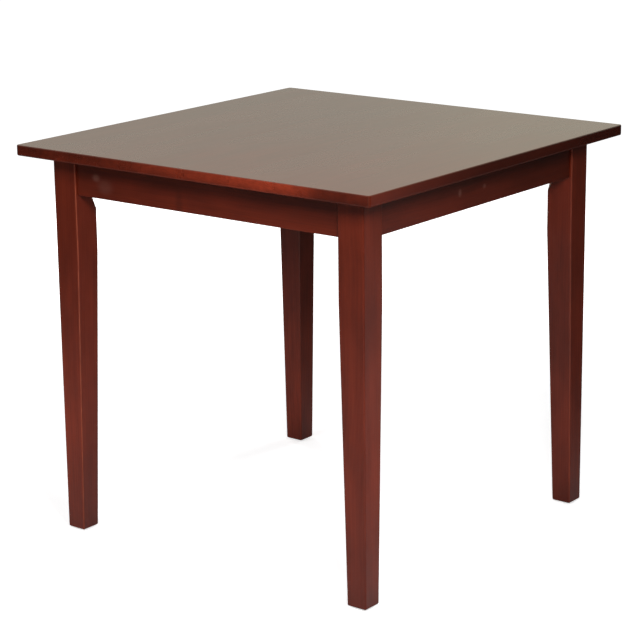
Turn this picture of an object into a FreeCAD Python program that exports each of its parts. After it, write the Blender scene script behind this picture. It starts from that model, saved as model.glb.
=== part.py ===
"""Square dining table: an edge-glued top, four aprons and four tapered legs bolted to corner blocks.

Millimetres, +Z up, the origin on the floor under the middle of the top. The front is towards -Y.
A leg, its corner block and its fasteners share a corner frame: its origin is the leg's outer corner,
and its x and y run inwards along the two outer faces of the leg.
"""
import FreeCAD, Part
import math
import os
import Sketcher
from FreeCAD import Placement, Rotation, Vector

# Driving dimensions: alias, value, what it measures
SIZES = [
    ("table_height", 743.0, "floor to the upper face of the top"),
    ("top_length", 800.0, "top along X"),
    ("top_width", 800.0, "top along Y"),
    ("top_thickness", 20.0, "thickness of the top"),
    ("top_overhang", 47.0, "edge of the top to the outer face of a leg"),
    ("top_corner_radius", 6.0, "upright corners of the top"),
    ("top_upper_radius", 1.8, "upper edge of the top"),
    ("top_lower_radius", 3.0, "lower edge of the top"),
    ("board_count", 8, "boards in the top, side by side along X"),
    ("tongue_length", 6.0, "tongue along a board's edge, across the joint"),
    ("tongue_thickness", 6.0, "tongue along a board's edge, upright"),
    ("groove_slack", 0.5, "room beyond the tip of the tongue"),
    ("leg_section", 54.0, "side of the leg's square section above the taper"),
    ("foot_section", 40.0, "side of the leg's square section at the foot"),
    ("leg_square_length", 180.0, "top of the leg to the start of the taper"),
    ("taper_blend", 600.0, "radius of the soft bend where the taper starts"),
    ("leg_edge_radius", 3.0, "long edges of the leg"),
    ("foot_bevel", 2.0, "bevel round the foot"),
    ("flat_cut", 17.0, "legs of the triangle cut off the leg's inner corner"),
    ("flat_runout", 35.0, "height of the ramp where the inner flat runs out"),
    ("apron_height", 71.0, "height of an apron"),
    ("apron_thickness", 20.0, "thickness of an apron"),
    ("apron_setback", 5.5, "outer face of the leg to the outer face of the apron"),
    ("apron_edge_radius", 1.5, "lower edges of an apron"),
    ("block_gap", 6.0, "flat of the leg to the corner block"),
    ("block_thickness", 25.0, "corner block along the bolts"),
    ("block_height", 60.0, "height of the corner block"),
    ("bolt_diameter", 8.0, "hanger bolt"),
    ("bolt_bite", 35.0, "hanger bolt inside the leg"),
    ("bolt_tip", 6.0, "pointed end of the hanger bolt"),
    ("bolt_proud", 3.0, "hanger bolt beyond its nut"),
    ("bolt_chamfer", 0.8, "end of the hanger bolt"),
    ("bolt_pitch", 30.0, "upper bolt to lower bolt"),
    ("bolt_play", 0.5, "bolt to the wall of its hole in the corner block"),
    ("washer_diameter", 16.0, "flat washer, outside"),
    ("washer_thickness", 1.6, "flat washer"),
    ("spring_diameter", 14.0, "spring washer, outside"),
    ("spring_thickness", 2.0, "spring washer"),
    ("spring_slit", 1.2, "slit in the spring washer"),
    ("nut_width", 13.0, "hex nut across its flats"),
    ("nut_thickness", 6.5, "hex nut"),
    ("nut_chamfer", 0.7, "corners of the hex nut"),
    ("screw_diameter", 4.0, "shank of every wood screw"),
    ("screw_tip", 5.0, "pointed end of a wood screw"),
    ("screw_head_diameter", 8.0, "head of a wood screw"),
    ("screw_head_height", 2.6, "head of a wood screw"),
    ("screw_head_rim", 1.0, "upright rim of a screw head"),
    ("screw_crown_diameter", 5.4, "flat crown of a screw head"),
    ("recess_span", 4.2, "cross recess from arm to arm"),
    ("recess_width", 0.9, "arm of the cross recess"),
    ("recess_depth", 1.5, "cross recess"),
    ("head_room", 0.8, "screw head to the wall of its counterbore"),
    ("fit_clearance", 0.1, "fastener to the wall of its hole"),
    ("tip_room", 0.5, "point of a fastener to the end of its hole"),
    ("block_screw_grip", 11.0, "corner block under the head of a screw into the apron"),
    ("block_screw_bite", 14.0, "screw of the corner block inside the apron"),
    ("block_screw_pitch", 34.0, "upper screw to lower screw of the corner block"),
    ("top_screw_grip", 28.0, "corner block under the head of a screw into the top"),
    ("top_screw_bite", 12.0, "upright screw inside the top"),
    ("top_screw_spread", 44.0, "between the two upright screws of a corner block"),
    ("pocket_angle", 18.0, "slope of a pocket screw from upright"),
    ("pocket_grip", 16.0, "apron under the head of a pocket screw"),
    ("pocket_bite", 12.0, "pocket screw inside the top"),
    ("pocket_spacing", 260.0, "between the two pocket screws of an apron"),
    ("glide_diameter", 22.0, "foot glide"),
    ("glide_height", 3.0, "foot glide, floor to leg"),
    ("glide_bevel", 0.8, "lower rim of the foot glide"),
    ("nail_diameter", 2.4, "shank of the glide's nail"),
    ("nail_head_diameter", 6.0, "head of the glide's nail"),
    ("nail_head_height", 0.8, "head of the glide's nail"),
    ("nail_floor", 1.2, "glide under the head of the nail"),
    ("nail_bite", 16.0, "nail inside the leg"),
    ("nail_tip", 3.0, "pointed end of the nail"),
]

# Levels
UNDERSIDE = "(sizes.table_height - sizes.top_thickness)"
LEG_LENGTH = f"({UNDERSIDE} - sizes.glide_height)"
TAPER_LEVEL = f"({LEG_LENGTH} - sizes.leg_square_length)"
APRON_BOTTOM = f"({UNDERSIDE} - sizes.apron_height)"
BLOCK_BOTTOM = f"({UNDERSIDE} - sizes.block_height)"
BLOCK_MIDDLE = f"({UNDERSIDE} - sizes.block_height / 2)"

# Distances from the middle of the table
LEG_FACE_X = "(sizes.top_length / 2 - sizes.top_overhang)"
LEG_FACE_Y = "(sizes.top_width / 2 - sizes.top_overhang)"
APRON_LENGTH_X = f"(2 * {LEG_FACE_X} - 2 * sizes.leg_section)"
APRON_LENGTH_Y = f"(2 * {LEG_FACE_Y} - 2 * sizes.leg_section)"

# Planes across the corner, as the sum of x and y in the corner frame
FLAT_SUM = "(2 * sizes.leg_section - sizes.flat_cut)"
BLOCK_NEAR_SUM = f"({FLAT_SUM} + sizes.block_gap * sqrt(2))"
BLOCK_FAR_SUM = f"({BLOCK_NEAR_SUM} + sizes.block_thickness * sqrt(2))"
BLOCK_MIDDLE_SUM = f"({BLOCK_NEAR_SUM} + sizes.block_thickness * sqrt(2) / 2)"
SPRING_SUM = f"({BLOCK_FAR_SUM} + sizes.washer_thickness * sqrt(2))"
NUT_SUM = f"({SPRING_SUM} + sizes.spring_thickness * sqrt(2))"

# Places in the corner frame
APRON_INNER = "(sizes.apron_setback + sizes.apron_thickness)"
BLOCK_SCREW_ALONG = f"({BLOCK_MIDDLE_SUM} - {APRON_INNER})"
TOP_SCREW_FAR = f"({BLOCK_MIDDLE_SUM} / 2 + sizes.top_screw_spread / 2 / sqrt(2))"
TOP_SCREW_NEAR = f"({BLOCK_MIDDLE_SUM} / 2 - sizes.top_screw_spread / 2 / sqrt(2))"

# Fastener lengths and hole radii
BOLT_LENGTH_OUTSIDE = (
    "(sizes.block_gap + sizes.block_thickness + sizes.washer_thickness"
    " + sizes.spring_thickness + sizes.nut_thickness + sizes.bolt_proud)"
)
BOLT_PILOT = "(sizes.bolt_diameter / 2 + sizes.fit_clearance)"
BOLT_PASSAGE = "(sizes.bolt_diameter / 2 + sizes.bolt_play)"
SCREW_PILOT = "(sizes.screw_diameter / 2 + sizes.fit_clearance)"
COUNTERBORE = "(sizes.screw_head_diameter / 2 + sizes.head_room)"
NAIL_PILOT = "(sizes.nail_diameter / 2 + sizes.fit_clearance)"
BLOCK_SCREW_LENGTH = "(sizes.block_screw_grip + sizes.block_screw_bite)"
TOP_SCREW_LENGTH = "(sizes.top_screw_grip + sizes.top_screw_bite)"
POCKET_SCREW_LENGTH = "(sizes.pocket_grip + sizes.pocket_bite)"

# Head seat of a pocket screw, from the outer face of the apron and from its upper edge
POCKET_SEAT_DEPTH = "(sizes.apron_thickness / 2 + sizes.pocket_grip * sin(sizes.pocket_angle))"
POCKET_SEAT_DROP = "(sizes.pocket_grip * cos(sizes.pocket_angle))"

# Corner: signs along X and Y, and the turn of the corner frame
CORNERS = {
    "front_left": (-1, -1, 0),
    "front_right": (1, -1, 90),
    "back_right": (1, 1, 180),
    "back_left": (-1, 1, 270),
}

UP = Vector(0, 0, 1)
ACROSS_CORNER = Vector(1, 1, 0)
TOWARDS_FRONT = Vector(0, -1, 0)
TOWARDS_SIDE = Vector(-1, 0, 0)

doc = FreeCAD.newDocument("dining_table")
sheet = doc.addObject("Spreadsheet::Sheet", "sizes")
nodes = []


def fill_sheet():
    """Write the driving dimensions into the sheet."""
    for row, (alias, number, meaning) in enumerate(SIZES, start=1):
        sheet.set(f"A{row}", meaning)
        sheet.set(f"B{row}", str(number))
        sheet.setAlias(f"B{row}", alias)
    doc.recompute()


def value(expression):
    """Number that an expression has with the present sizes."""
    return float(sheet.evalExpression(expression))


def bind(item, **expressions):
    """Tie properties to expressions."""
    for name, expression in expressions.items():
        item.setExpression(name, expression)


def put(item, x, y, z, rotation=None):
    """Turn an object and tie its place to three expressions."""
    item.Placement = Placement(Vector(), rotation or Rotation())
    for axis, expression in zip("xyz", (x, y, z)):
        item.setExpression(f"Placement.Base.{axis}", str(expression))


def put_in_corner(item, corner, along, inwards, z, rotation=None):
    """Place an object by two distances in a corner frame."""
    sign_x, sign_y, turn = CORNERS[corner]
    if turn % 180:
        along, inwards = inwards, along
    x = f"{sign_x} * ({LEG_FACE_X} - {along})"
    y = f"{sign_y} * ({LEG_FACE_Y} - {inwards})"
    put(item, x, y, z, Rotation(UP, turn).multiply(rotation or Rotation()))


def keep(item, label):
    """Name an object as a sub-part that is written out."""
    item.Label = label
    nodes.append(item)
    return item


def new_body(name):
    """Start a sub-part made of sketches and features."""
    return doc.addObject("PartDesign::Body", name)


def new_sketch(body, name, plane):
    """Start a sketch on one of the body's own planes."""
    sketch = body.newObject("Sketcher::SketchObject", name)
    support = next(item for item in body.Origin.OriginFeatures if item.Role == plane)
    sketch.AttachmentSupport = [(support, "")]
    sketch.MapMode = "FlatFace"
    return sketch


def tie(sketch, kind, name, expression, *picked):
    """Add a named dimension to a sketch and tie it to an expression."""
    index = sketch.addConstraint(Sketcher.Constraint(kind, *picked, value(expression)))
    sketch.renameConstraint(index, name)
    sketch.setExpression(f"Constraints.{name}", expression)


def arc_between(start, end, radius):
    """Arc of under a half turn, counter-clockwise from one point to another."""
    chord = end - start
    left = Vector(-chord.y, chord.x, 0).normalize()
    middle = (start + end) / 2 + left * math.sqrt(radius ** 2 - chord.Length ** 2 / 4)
    angles = [math.atan2(point.y - middle.y, point.x - middle.x) for point in (start, end)]
    return Part.ArcOfCircle(Part.Circle(middle, UP, radius), *angles)


def outline(body, name, plane, corners, arcs=None):
    """Draw a closed outline whose corners are pairs of expressions; arcs holds the radii of round sides."""
    arcs = arcs or {}
    sketch = new_sketch(body, name, plane)
    points = [Vector(value(x), value(y), 0) for x, y in corners]
    for side, (start, end) in enumerate(zip(points, points[1:] + points[:1])):
        if side in arcs:
            sketch.addGeometry(arc_between(start, end, value(arcs[side])), False)
        else:
            sketch.addGeometry(Part.LineSegment(start, end), False)
    for side in range(len(points)):
        following = (side + 1) % len(points)
        sketch.addConstraint(Sketcher.Constraint("Coincident", side, 2, following, 1))
    for corner, (x, y) in enumerate(corners):
        tie(sketch, "DistanceX", f"across_{corner}", x, -1, 1, corner, 1)
        tie(sketch, "DistanceY", f"along_{corner}", y, -1, 1, corner, 1)
    for side, radius in arcs.items():
        tie(sketch, "Radius", f"radius_{side}", radius, side)
    return sketch


def rings(body, name, plane, *diameters):
    """Draw circles round the sketch's origin."""
    sketch = new_sketch(body, name, plane)
    for ring, diameter in enumerate(diameters):
        sketch.addGeometry(Part.Circle(Vector(), UP, value(diameter) / 2), False)
        sketch.addConstraint(Sketcher.Constraint("Coincident", ring, 3, -1, 1))
        tie(sketch, "Diameter", f"diameter_{ring}", diameter, ring)
    return sketch


def pad(body, name, sketch, length, both_ways=False):
    """Raise a sketch into a solid."""
    feature = body.newObject("PartDesign::Pad", name)
    feature.Profile = sketch
    feature.SideType = "Symmetric" if both_ways else "One side"
    bind(feature, Length=length)
    doc.recompute()
    return feature


def cut_through(body, name, sketch):
    """Cut a sketch right through the solid, both ways."""
    feature = body.newObject("PartDesign::Pocket", name)
    feature.Profile = sketch
    feature.Type = "ThroughAll"
    feature.SideType = "Symmetric"
    doc.recompute()
    return feature


def spin(body, kind, name, sketch):
    """Turn a half profile round the upright axis of its sketch, as a Revolution or a Groove."""
    feature = body.newObject(f"PartDesign::{kind}", name)
    feature.Profile = sketch
    feature.ReferenceAxis = (sketch, ["V_Axis"])
    feature.Angle = 360
    doc.recompute()
    return feature


def drill(body, name, radius, depth, start, rotation):
    """Cut a round hole that starts at three expressions and runs along the turned Z axis."""
    hole = body.newObject("PartDesign::SubtractiveCylinder", name)
    bind(hole, Radius=radius, Height=depth)
    put(hole, *start, rotation)
    doc.recompute()
    return hole


def edges_where(feature, test):
    """Names of a feature's edges that pass a test."""
    return [f"Edge{number}" for number, edge in enumerate(feature.Shape.Edges, start=1) if test(edge)]


def ease(body, kind, name, feature, edges, **sizes):
    """Round or bevel edges of a feature."""
    easing = body.newObject(f"PartDesign::{kind}", name)
    easing.Base = (feature, edges)
    bind(easing, **sizes)
    doc.recompute()
    return easing


def mirrored(source, name, normal, x="0", y="0", z="0"):
    """Mirror an object in the plane through a point."""
    copy = doc.addObject("Part::Mirroring", name)
    copy.Source = source
    copy.Normal = normal
    for axis, expression in zip("xyz", (x, y, z)):
        copy.setExpression(f"Base.{axis}", expression)
    return copy


def together(name, *members):
    """Group separate solids."""
    group = doc.addObject("Part::Compound", name)
    group.Links = list(members)
    return group


def in_all_corners(source, label):
    """Repeat what is made at the front left corner at the other three."""
    right = mirrored(source, f"{label}_right", Vector(1, 0, 0))
    front = together(f"{label}_front", source, right)
    back = mirrored(front, f"{label}_back", Vector(0, 1, 0))
    return together(label, front, back)


def in_both_rows(source, name):
    """Repeat a fastener of the lower row in the upper row of its corner block."""
    upper = mirrored(source, f"{name}_upper", UP, z=BLOCK_MIDDLE)
    return together(f"{name}_rows", source, upper)


def is_upright(edge):
    """Whether an edge runs straight up."""
    box = edge.BoundBox
    return box.XLength < 1e-6 and box.YLength < 1e-6


def lies_level(edge, level):
    """Whether a whole edge lies at one height."""
    box = edge.BoundBox
    return abs(box.ZMin - level) < 1e-6 and abs(box.ZMax - level) < 1e-6


def make_leg(corner):
    """Square leg, tapered on its two inner faces, with a flat for the corner block's bolts."""
    body = new_body(f"leg_{corner}")
    side = "sizes.leg_section"
    foot = "sizes.foot_section"
    square = outline(body, "section", "XY_Plane", [("0", "0"), (side, "0"), (side, side), ("0", side)])
    pad(body, "blank", square, LEG_LENGTH)
    slope = f"atan(({side} - {foot}) / {TAPER_LEVEL})"
    bend = f"(sizes.taper_blend * tan({slope} / 2))"
    wedge = [
        (f"{side} - {bend} * sin({slope})", f"{TAPER_LEVEL} - {bend} * cos({slope})"),
        (side, f"{TAPER_LEVEL} + {bend}"),
        (side, "0"),
        (foot, "0"),
    ]
    soft_start = {0: "sizes.taper_blend"}
    for way, plane in (("along", "XZ_Plane"), ("inwards", "YZ_Plane")):
        tapered = cut_through(body, f"taper_{way}", outline(body, f"wedge_{way}", plane, wedge, soft_start))

    shortest_rise = value("sizes.leg_edge_radius")
    long_edges = edges_where(tapered, lambda edge: edge.BoundBox.ZLength > shortest_rise)
    rounded = ease(body, "Fillet", "long_edges", tapered, long_edges, Radius="sizes.leg_edge_radius")
    rim = edges_where(rounded, lambda edge: lies_level(edge, 0))
    ease(body, "Chamfer", "foot", rounded, rim, Size="sizes.foot_bevel")

    inner_corner = "(sizes.leg_section * sqrt(2))"
    flat = f"({FLAT_SUM} / sqrt(2))"
    flat_bottom = f"({LEG_LENGTH} - sizes.apron_height)"
    ramp_bottom = f"({flat_bottom} - sizes.flat_runout)"
    upright = outline(body, "flat_profile", "XZ_Plane", [
        (flat, LEG_LENGTH),
        (flat, flat_bottom),
        (inner_corner, ramp_bottom),
        (inner_corner, LEG_LENGTH),
    ])
    upright.AttachmentOffset = Placement(Vector(), Rotation(Vector(0, 1, 0), 45))
    cut_through(body, "inner_flat", upright)

    for row, sign in (("lower", "-"), ("upper", "+")):
        level = f"({LEG_LENGTH} - sizes.block_height / 2 {sign} sizes.bolt_pitch / 2)"
        start = (f"{FLAT_SUM} / 2", f"{FLAT_SUM} / 2", level)
        depth = "sizes.bolt_bite + sizes.tip_room"
        drill(body, f"bolt_pilot_{row}", BOLT_PILOT, depth, start, Rotation(UP, -ACROSS_CORNER))
    foot_middle = ("sizes.foot_section / 2", "sizes.foot_section / 2", "0")
    drill(body, "nail_pilot", NAIL_PILOT, "sizes.nail_bite + sizes.tip_room", foot_middle, Rotation())
    put_in_corner(body, corner, "0", "0", "sizes.glide_height")
    return keep(body, f"leg_{corner}")


def make_apron(side, length, x, y, turn):
    """Rail between two legs, drilled for its corner blocks and pocketed for the screws of the top."""
    body = new_body(f"apron_{side}")
    thickness = "sizes.apron_thickness"
    half = f"({length} / 2)"
    plan = [(f"-{half}", "0"), (half, "0"), (half, thickness), (f"-{half}", thickness)]
    blank = pad(body, "blank", outline(body, "plan", "XY_Plane", plan), "sizes.apron_height")
    shortest_long_edge = value(length) * 0.99
    lower_edges = edges_where(blank, lambda edge: lies_level(edge, 0) and edge.Length > shortest_long_edge)
    ease(body, "Fillet", "lower_edges", blank, lower_edges, Radius="sizes.apron_edge_radius")

    from_end = f"({BLOCK_SCREW_ALONG} - sizes.leg_section)"
    slope = Rotation(Vector(1, 0, 0), value("sizes.pocket_angle"))
    run_out = f"(({thickness} / 2 + {COUNTERBORE} * cos(sizes.pocket_angle)) / sin(sizes.pocket_angle))"
    pocket_depth = f"({run_out} - sizes.pocket_grip)"
    foot_depth = f"({POCKET_SEAT_DEPTH} + {pocket_depth} * sin(sizes.pocket_angle))"
    foot_level = f"(sizes.apron_height - {POCKET_SEAT_DROP} - {pocket_depth} * cos(sizes.pocket_angle))"
    seat_level = f"(sizes.apron_height - {POCKET_SEAT_DROP})"
    for end, sign in (("left", "-"), ("right", "+")):
        for row, row_sign in (("lower", "-"), ("upper", "+")):
            level = f"(sizes.apron_height - sizes.block_height / 2 {row_sign} sizes.block_screw_pitch / 2)"
            start = (f"0 {sign} ({half} - {from_end})", thickness, level)
            depth = "sizes.block_screw_bite + sizes.tip_room"
            drill(body, f"screw_pilot_{end}_{row}", SCREW_PILOT, depth, start, Rotation(UP, TOWARDS_FRONT))
        along = f"0 {sign} sizes.pocket_spacing / 2"
        foot = (along, foot_depth, foot_level)
        seat = (along, POCKET_SEAT_DEPTH, seat_level)
        pocket = drill(body, f"pocket_{end}", COUNTERBORE, pocket_depth, foot, slope)
        shank = drill(body, f"shank_{end}", SCREW_PILOT, POCKET_SCREW_LENGTH, seat, slope)
        for hole in (pocket, shank):
            hole.setExpression("Placement.Rotation.Angle", "sizes.pocket_angle")
    put(body, x, y, APRON_BOTTOM, Rotation(UP, turn))
    return keep(body, f"apron_{side}")


def make_aprons():
    """Four aprons, each with its local y running inwards from its outer face."""
    face_x = f"({LEG_FACE_X} - sizes.apron_setback)"
    face_y = f"({LEG_FACE_Y} - sizes.apron_setback)"
    make_apron("front", APRON_LENGTH_X, "0", f"-{face_y}", 0)
    make_apron("right", APRON_LENGTH_Y, face_x, "0", 90)
    make_apron("back", APRON_LENGTH_X, "0", face_y, 180)
    make_apron("left", APRON_LENGTH_Y, f"-{face_x}", "0", 270)


def make_corner_block(corner):
    """Mitred block across the corner, drilled for two bolts, four apron screws and two top screws."""
    body = new_body(f"corner_block_{corner}")
    near = f"({BLOCK_NEAR_SUM} - {APRON_INNER})"
    far = f"({BLOCK_FAR_SUM} - {APRON_INNER})"
    plan = [(APRON_INNER, near), (near, APRON_INNER), (far, APRON_INNER), (APRON_INNER, far)]
    pad(body, "blank", outline(body, "plan", "XY_Plane", plan), "sizes.block_height")

    seat = f"({APRON_INNER} + sizes.block_screw_grip)"
    bore_depth = f"({BLOCK_FAR_SUM} - {BLOCK_SCREW_ALONG} - {seat} + {COUNTERBORE})"
    for row, sign in (("lower", "-"), ("upper", "+")):
        bolt_level = f"(sizes.block_height / 2 {sign} sizes.bolt_pitch / 2)"
        bolt_start = (f"{BLOCK_NEAR_SUM} / 2", f"{BLOCK_NEAR_SUM} / 2", bolt_level)
        drill(body, f"bolt_hole_{row}", BOLT_PASSAGE, "sizes.block_thickness", bolt_start,
              Rotation(UP, ACROSS_CORNER))
        level = f"(sizes.block_height / 2 {sign} sizes.block_screw_pitch / 2)"
        front = (BLOCK_SCREW_ALONG, APRON_INNER, level)
        front_seat = (BLOCK_SCREW_ALONG, seat, level)
        side = (APRON_INNER, BLOCK_SCREW_ALONG, level)
        side_seat = (seat, BLOCK_SCREW_ALONG, level)
        ends = (("front", front, front_seat, -TOWARDS_FRONT), ("side", side, side_seat, -TOWARDS_SIDE))
        for end, mouth, head, inwards in ends:
            turn = Rotation(UP, inwards)
            drill(body, f"{end}_shank_{row}", SCREW_PILOT, "sizes.block_screw_grip", mouth, turn)
            drill(body, f"{end}_bore_{row}", COUNTERBORE, bore_depth, head, turn)
    places = (("front", TOP_SCREW_FAR, TOP_SCREW_NEAR), ("side", TOP_SCREW_NEAR, TOP_SCREW_FAR))
    for name, along, inwards in places:
        drill(body, f"top_shank_{name}", SCREW_PILOT, "sizes.block_height", (along, inwards, "0"), Rotation())
        drill(body, f"top_bore_{name}", COUNTERBORE, "sizes.block_height - sizes.top_screw_grip",
              (along, inwards, "0"), Rotation())
    put_in_corner(body, corner, "0", "0", BLOCK_BOTTOM)
    return keep(body, f"corner_block_{corner}")


def make_wood_screw(name, length):
    """Pan head screw: its head sits on local z 0 and its shank runs along +Z."""
    body = new_body(name)
    head = "sizes.screw_head_diameter / 2"
    shank = "sizes.screw_diameter / 2"
    crown = "0 - sizes.screw_head_height"
    profile = [
        ("0", crown),
        ("sizes.screw_crown_diameter / 2", crown),
        (head, "0 - sizes.screw_head_rim"),
        (head, "0"),
        (shank, "0"),
        (shank, f"{length} - sizes.screw_tip"),
        ("0", length),
    ]
    spin(body, "Revolution", "turned", outline(body, "profile", "XZ_Plane", profile))

    arm = "sizes.recess_span / 2"
    width = "sizes.recess_width / 2"
    quarter = [(arm, f"-{width}"), (arm, width), (width, width)]
    cross = []
    for _ in range(4):
        cross += quarter
        quarter = [(f"0 - ({y})", x) for x, y in quarter]
    recess = outline(body, "recess_outline", "XY_Plane", cross)
    recess.setExpression("AttachmentOffset.Base.z", crown)
    driver = body.newObject("PartDesign::Pocket", "recess")
    driver.Profile = recess
    driver.Reversed = True
    bind(driver, Length="sizes.recess_depth")
    doc.recompute()
    return body


def make_block_screws():
    """Sixteen screws from the corner blocks into the aprons."""
    screw = make_wood_screw("block_screw", BLOCK_SCREW_LENGTH)
    level = f"{BLOCK_MIDDLE} - sizes.block_screw_pitch / 2"
    seat = f"({APRON_INNER} + sizes.block_screw_grip)"
    put_in_corner(screw, "front_left", BLOCK_SCREW_ALONG, seat, level, Rotation(UP, TOWARDS_FRONT))
    rows = in_both_rows(screw, "block_screw")
    across = mirrored(rows, "block_screw_side", Vector(1, -1, 0), f"-{LEG_FACE_X}", f"-{LEG_FACE_Y}")
    return keep(in_all_corners(together("block_screw_corner", rows, across), "block_screws"), "block_screws")


def make_top_screws():
    """Eight upright screws from the corner blocks into the top, and the holes for their ends."""
    screw = make_wood_screw("top_screw", TOP_SCREW_LENGTH)
    hole = doc.addObject("Part::Cylinder", "top_screw_hole")
    bind(hole, Radius=SCREW_PILOT, Height=f"{TOP_SCREW_LENGTH} + sizes.tip_room")
    seat_level = f"{UNDERSIDE} - sizes.top_screw_grip"
    groups = []
    for item, name in ((screw, "top_screws"), (hole, "top_screw_holes")):
        put_in_corner(item, "front_left", TOP_SCREW_FAR, TOP_SCREW_NEAR, seat_level)
        across = mirrored(item, f"{name}_side", Vector(1, -1, 0), f"-{LEG_FACE_X}", f"-{LEG_FACE_Y}")
        groups.append(in_all_corners(together(f"{name}_corner", item, across), name))
    screws, holes = groups
    keep(screws, "top_screws")
    return holes


def make_pocket_screws():
    """Eight sloping screws from the aprons into the top, and the holes for their ends."""
    seat_level = f"{UNDERSIDE} - {POCKET_SEAT_DROP}"
    seat_x = f"0 - ({LEG_FACE_X} - sizes.apron_setback - {POCKET_SEAT_DEPTH})"
    seat_y = f"0 - ({LEG_FACE_Y} - sizes.apron_setback - {POCKET_SEAT_DEPTH})"
    along = "0 - sizes.pocket_spacing / 2"
    places = (
        ("front", along, seat_y, Vector(1, 0, 0), "sizes.pocket_angle"),
        ("side", seat_x, along, Vector(0, -1, 0), "sizes.pocket_angle"),
    )
    screws = []
    holes = []
    for name, x, y, axis, slope in places:
        screw = make_wood_screw(f"pocket_screw_{name}", POCKET_SCREW_LENGTH)
        hole = doc.addObject("Part::Cylinder", f"pocket_hole_{name}")
        bind(hole, Radius=SCREW_PILOT, Height=f"{POCKET_SCREW_LENGTH} + sizes.tip_room")
        for item in (screw, hole):
            put(item, x, y, seat_level, Rotation(axis, value(slope)))
            item.setExpression("Placement.Rotation.Angle", slope)
        screws.append(screw)
        holes.append(hole)
    keep(in_all_corners(together("pocket_screw_pair", *screws), "pocket_screws"), "pocket_screws")
    return in_all_corners(together("pocket_hole_pair", *holes), "pocket_holes")


def put_on_bolt(item, plane_sum):
    """Place an object on the lower bolt of the front left corner, at a plane across the corner."""
    level = f"{BLOCK_MIDDLE} - sizes.bolt_pitch / 2"
    half = f"({plane_sum} / 2)"
    put_in_corner(item, "front_left", half, half, level, Rotation(UP, ACROSS_CORNER))


def make_hanger_bolts():
    """Eight bolts: a pointed end in the leg, a plain end through the corner block."""
    body = new_body("hanger_bolt")
    radius = "sizes.bolt_diameter / 2"
    neck = "sizes.bolt_diameter / 2 - sizes.bolt_chamfer"
    end = BOLT_LENGTH_OUTSIDE
    profile = [
        ("0", "0 - sizes.bolt_bite"),
        (radius, "sizes.bolt_tip - sizes.bolt_bite"),
        (radius, f"{end} - sizes.bolt_chamfer"),
        (neck, end),
        ("0", end),
    ]
    spin(body, "Revolution", "turned", outline(body, "profile", "XZ_Plane", profile))
    put_on_bolt(body, FLAT_SUM)
    return keep(in_all_corners(in_both_rows(body, "hanger_bolt"), "hanger_bolts"), "hanger_bolts")


def make_flat_washers():
    """Eight flat washers against the corner blocks."""
    body = new_body("flat_washer")
    bore = f"(2 * {BOLT_PILOT})"
    plan = rings(body, "plan", "XY_Plane", "sizes.washer_diameter", bore)
    pad(body, "ring", plan, "sizes.washer_thickness")
    put_on_bolt(body, BLOCK_FAR_SUM)
    return keep(in_all_corners(in_both_rows(body, "flat_washer"), "flat_washers"), "flat_washers")


def make_spring_washers():
    """Eight split washers under the nuts, drawn as tightened flat."""
    body = new_body("spring_washer")
    bore = f"(2 * {BOLT_PILOT})"
    plan = rings(body, "plan", "XY_Plane", "sizes.spring_diameter", bore)
    pad(body, "ring", plan, "sizes.spring_thickness")
    half_slit = "sizes.spring_slit / 2"
    lean = "sizes.spring_thickness / 2"
    slit = outline(body, "slit_outline", "XZ_Plane", [
        (f"0 - {lean} - {half_slit}", "0"),
        (f"{half_slit} - {lean}", "0"),
        (f"{lean} + {half_slit}", "sizes.spring_thickness"),
        (f"{lean} - {half_slit}", "sizes.spring_thickness"),
    ])
    cut = body.newObject("PartDesign::Pocket", "slit")
    cut.Profile = slit
    bind(cut, Length="sizes.spring_diameter")
    doc.recompute()
    put_on_bolt(body, SPRING_SUM)
    return keep(in_all_corners(in_both_rows(body, "spring_washer"), "spring_washers"), "spring_washers")


def make_hex_nuts():
    """Eight hex nuts with both ends turned down at the corners."""
    body = new_body("hex_nut")
    flat = "sizes.nut_width / 2"
    corner = "sizes.nut_width / sqrt(3)"
    half_corner = "sizes.nut_width / sqrt(3) / 2"
    hexagon = [
        (corner, "0"),
        (half_corner, flat),
        (f"0 - {half_corner}", flat),
        (f"0 - {corner}", "0"),
        (f"0 - {half_corner}", f"0 - {flat}"),
        (half_corner, f"0 - {flat}"),
    ]
    pad(body, "blank", outline(body, "hexagon", "XY_Plane", hexagon), "sizes.nut_thickness")
    drill(body, "thread", BOLT_PILOT, "sizes.nut_thickness", ("0", "0", "0"), Rotation())
    inside = f"({corner} - sizes.nut_chamfer * sqrt(3))"
    for face, level, sign in (("lower", "0", "+"), ("upper", "sizes.nut_thickness", "-")):
        wedge = [(inside, level), (corner, level), (corner, f"{level} {sign} sizes.nut_chamfer")]
        spin(body, "Groove", f"{face}_corners", outline(body, f"{face}_wedge", "XZ_Plane", wedge))
    put_on_bolt(body, NUT_SUM)
    return keep(in_all_corners(in_both_rows(body, "hex_nut"), "hex_nuts"), "hex_nuts")


def make_glide(corner):
    """Nylon disc under a foot, moulded round the head of its nail."""
    body = new_body(f"foot_glide_{corner}")
    rim = "sizes.glide_diameter / 2"
    head = "sizes.nail_head_diameter / 2 + sizes.fit_clearance"
    head_top = "sizes.nail_floor + sizes.nail_head_height"
    profile = [
        ("0", "0"),
        (f"{rim} - sizes.glide_bevel", "0"),
        (rim, "sizes.glide_bevel"),
        (rim, "sizes.glide_height"),
        (NAIL_PILOT, "sizes.glide_height"),
        (NAIL_PILOT, head_top),
        (head, head_top),
        (head, "sizes.nail_floor"),
        ("0", "sizes.nail_floor"),
    ]
    spin(body, "Revolution", "turned", outline(body, "profile", "XZ_Plane", profile))
    middle = "sizes.foot_section / 2"
    put_in_corner(body, corner, middle, middle, "0")
    return keep(body, f"foot_glide_{corner}")


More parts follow.
